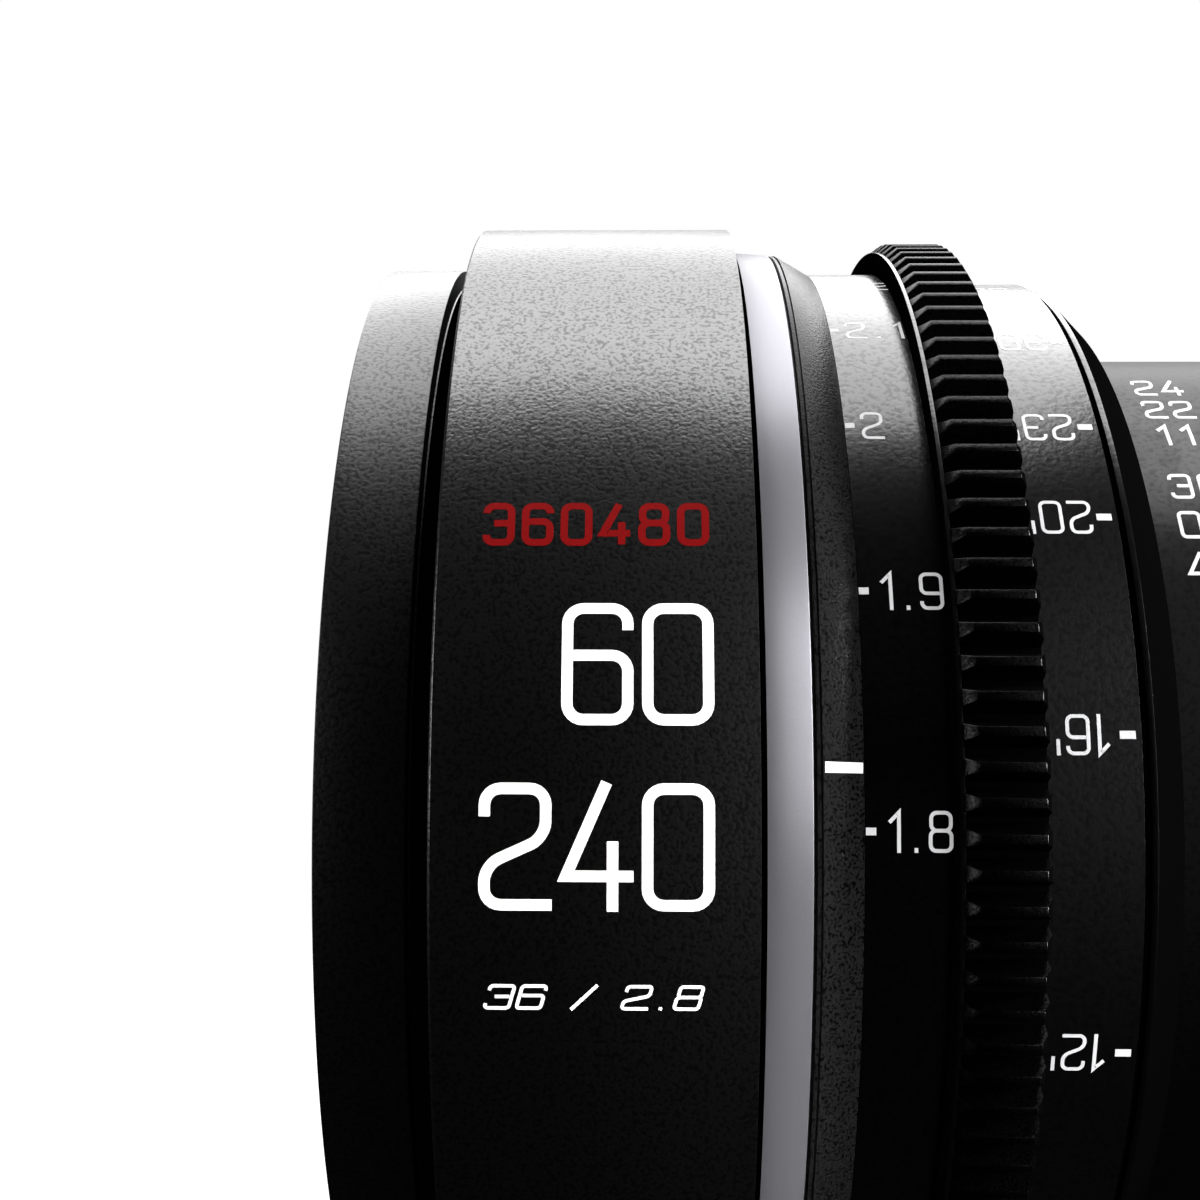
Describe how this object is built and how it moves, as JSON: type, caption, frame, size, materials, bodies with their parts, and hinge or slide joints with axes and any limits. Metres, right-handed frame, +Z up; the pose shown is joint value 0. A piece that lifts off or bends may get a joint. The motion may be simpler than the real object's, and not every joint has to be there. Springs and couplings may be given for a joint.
{
  "type": "telephoto zoom lens",
  "caption": "Black cine telephoto zoom lens with silver ring, geared focus, zoom and iris rings, focus scales, camera mount and support foot.",
  "frame": {"origin": "centre of the camera-mount seat, on the optical axis", "axes": "+X along the optical axis out of the rear of the lens towards the camera; the front glass faces -X; +Z up; index marks face -Y"},
  "size_m": [0.286, 0.114, 0.114],
  "materials": {
    "satin_black": "satin black anodised aluminium with a fine mottle",
    "bead_blasted_silver": "bead-blasted, fine scratches",
    "inner_black": "matt black anodised",
    "bare_aluminium": "turned",
    "bearing_brass": "turned",
    "steel": "bare",
    "blade_steel": "blackened sheet",
    "plated_brass": "satin chrome on brass",
    "coated_glass": "polished, coated"
  },
  "bodies": {
    "barrel": {"filter_ring": "satin_black", "foot_screws": "steel", "front_drum": "satin_black", "front_element": "coated_glass", "front_index_ring": "satin_black", "front_lens_cell": "inner_black", "front_retaining_ring": "inner_black", "front_spacer_ring": "inner_black", "front_tube": "inner_black", "guide_sleeve": "bare_aluminium", "iris_pivot_plate": "inner_black", "main_barrel": "satin_black", "mount_flange": "plated_brass", "mount_screws": "steel", "mount_shim": "steel", "prime_element": "coated_glass", "prime_retaining_ring": "inner_black", "rear_barrel": "satin_black", "rear_element": "coated_glass", "rear_index_ring": "satin_black", "rear_lens_cell": "inner_black", "rear_retaining_ring": "inner_black", "relay_cell": "inner_black", "relay_element": "coated_glass", "relay_housing": "satin_black", "relay_retaining_ring": "inner_black", "second_element": "coated_glass", "silver_ring": "bead_blasted_silver", "stop_pins": "steel", "support_foot": "satin_black", "zoom_index_ring": "satin_black"},
    "focus_ring": {"focus_ring": "satin_black", "focus_helicoid": "bearing_brass"},
    "focus_cell": {"focus_cell": "inner_black", "focus_pins": "steel", "focus_element": "coated_glass", "focus_retaining_ring": "inner_black"},
    "zoom_ring": {"zoom_ring": "satin_black", "zoom_studs": "steel", "cam_barrel": "bare_aluminium"},
    "variator": {"variator_cell": "inner_black", "variator_element": "coated_glass", "variator_retaining_ring": "inner_black", "variator_rollers": "bearing_brass"},
    "compensator": {"compensator_cell": "inner_black", "compensator_element": "coated_glass", "compensator_retaining_ring": "inner_black", "compensator_rollers": "bearing_brass"},
    "iris_ring": {"iris_ring": "satin_black", "iris_drive_ring": "bare_aluminium", "iris_stud": "steel"},
    "iris_blade_1": {"iris_blade_1": "blade_steel"},
    "iris_blade_2": {"iris_blade_2": "blade_steel"},
    "iris_blade_3": {"iris_blade_3": "blade_steel"},
    "iris_blade_4": {"iris_blade_4": "blade_steel"},
    "iris_blade_5": {"iris_blade_5": "blade_steel"},
    "iris_blade_6": {"iris_blade_6": "blade_steel"},
    "iris_blade_7": {"iris_blade_7": "blade_steel"},
    "iris_blade_8": {"iris_blade_8": "blade_steel"},
    "iris_blade_9": {"iris_blade_9": "blade_steel"}
  },
  "joints": [
    {"name": "focus_turn", "type": "hinge", "parent": "barrel", "child": "focus_ring", "pos_m": [-0.2115, 0, 0], "axis": [1, 0, 0], "range_deg": [-5, 275]},
    {"name": "focus_travel", "type": "slide", "parent": "barrel", "child": "focus_cell", "axis": [1, 0, 0], "range_m": [-0.00019, 0.01031]},
    {"name": "zoom_turn", "type": "hinge", "parent": "barrel", "child": "zoom_ring", "pos_m": [-0.1378, 0, 0], "axis": [1, 0, 0], "range_deg": [-50, 70]},
    {"name": "variator_travel", "type": "slide", "parent": "barrel", "child": "variator", "axis": [1, 0, 0], "range_m": [-0.01417, 0.01983]},
    {"name": "compensator_travel", "type": "slide", "parent": "barrel", "child": "compensator", "axis": [1, 0, 0], "range_m": [-0.007, 0.005]},
    {"name": "iris_turn", "type": "hinge", "parent": "barrel", "child": "iris_ring", "pos_m": [-0.068, 0, 0], "axis": [1, 0, 0], "range_deg": [0, 72]},
    {"name": "iris_blade_1_swing", "type": "hinge", "parent": "barrel", "child": "iris_blade_1", "pos_m": [-0.0816, 0.0227, 0], "axis": [1, 0, 0], "range_deg": [-0.01, 36.01]},
    {"name": "iris_blade_2_swing", "type": "hinge", "parent": "barrel", "child": "iris_blade_2", "pos_m": [-0.0813, 0.01739, 0.01459], "axis": [1, 0, 0], "range_deg": [-0.01, 36.01]},
    {"name": "iris_blade_3_swing", "type": "hinge", "parent": "barrel", "child": "iris_blade_3", "pos_m": [-0.081, 0.00394, 0.02236], "axis": [1, 0, 0], "range_deg": [-0.01, 36.01]},
    {"name": "iris_blade_4_swing", "type": "hinge", "parent": "barrel", "child": "iris_blade_4", "pos_m": [-0.0807, -0.01135, 0.01966], "axis": [1, 0, 0], "range_deg": [-0.01, 36.01]},
    {"name": "iris_blade_5_swing", "type": "hinge", "parent": "barrel", "child": "iris_blade_5", "pos_m": [-0.0804, -0.02133, 0.00776], "axis": [1, 0, 0], "range_deg": [-0.01, 36.01]},
    {"name": "iris_blade_6_swing", "type": "hinge", "parent": "barrel", "child": "iris_blade_6", "pos_m": [-0.0801, -0.02133, -0.00776], "axis": [1, 0, 0], "range_deg": [-0.01, 36.01]},
    {"name": "iris_blade_7_swing", "type": "hinge", "parent": "barrel", "child": "iris_blade_7", "pos_m": [-0.0798, -0.01135, -0.01966], "axis": [1, 0, 0], "range_deg": [-0.01, 36.01]},
    {"name": "iris_blade_8_swing", "type": "hinge", "parent": "barrel", "child": "iris_blade_8", "pos_m": [-0.0795, 0.00394, -0.02236], "axis": [1, 0, 0], "range_deg": [-0.01, 36.01]},
    {"name": "iris_blade_9_swing", "type": "hinge", "parent": "barrel", "child": "iris_blade_9", "pos_m": [-0.0792, 0.01739, -0.01459], "axis": [1, 0, 0], "range_deg": [-0.01, 36.01]}
  ],
  "couplings": [
    {"joint": "focus_travel", "follows": "focus_turn", "m_per_rad": 0.0021486},
    {"joint": "variator_travel", "follows": "zoom_turn", "m_per_rad": 0.016234},
    {"joint": "compensator_travel", "follows": "zoom_turn", "m_per_rad": -0.0057296},
    {"joint": "iris_blade_1_swing", "follows": "iris_turn", "ratio": 0.5},
    {"joint": "iris_blade_2_swing", "follows": "iris_turn", "ratio": 0.5},
    {"joint": "iris_blade_3_swing", "follows": "iris_turn", "ratio": 0.5},
    {"joint": "iris_blade_4_swing", "follows": "iris_turn", "ratio": 0.5},
    {"joint": "iris_blade_5_swing", "follows": "iris_turn", "ratio": 0.5},
    {"joint": "iris_blade_6_swing", "follows": "iris_turn", "ratio": 0.5},
    {"joint": "iris_blade_7_swing", "follows": "iris_turn", "ratio": 0.5},
    {"joint": "iris_blade_8_swing", "follows": "iris_turn", "ratio": 0.5},
    {"joint": "iris_blade_9_swing", "follows": "iris_turn", "ratio": 0.5}
  ]
}
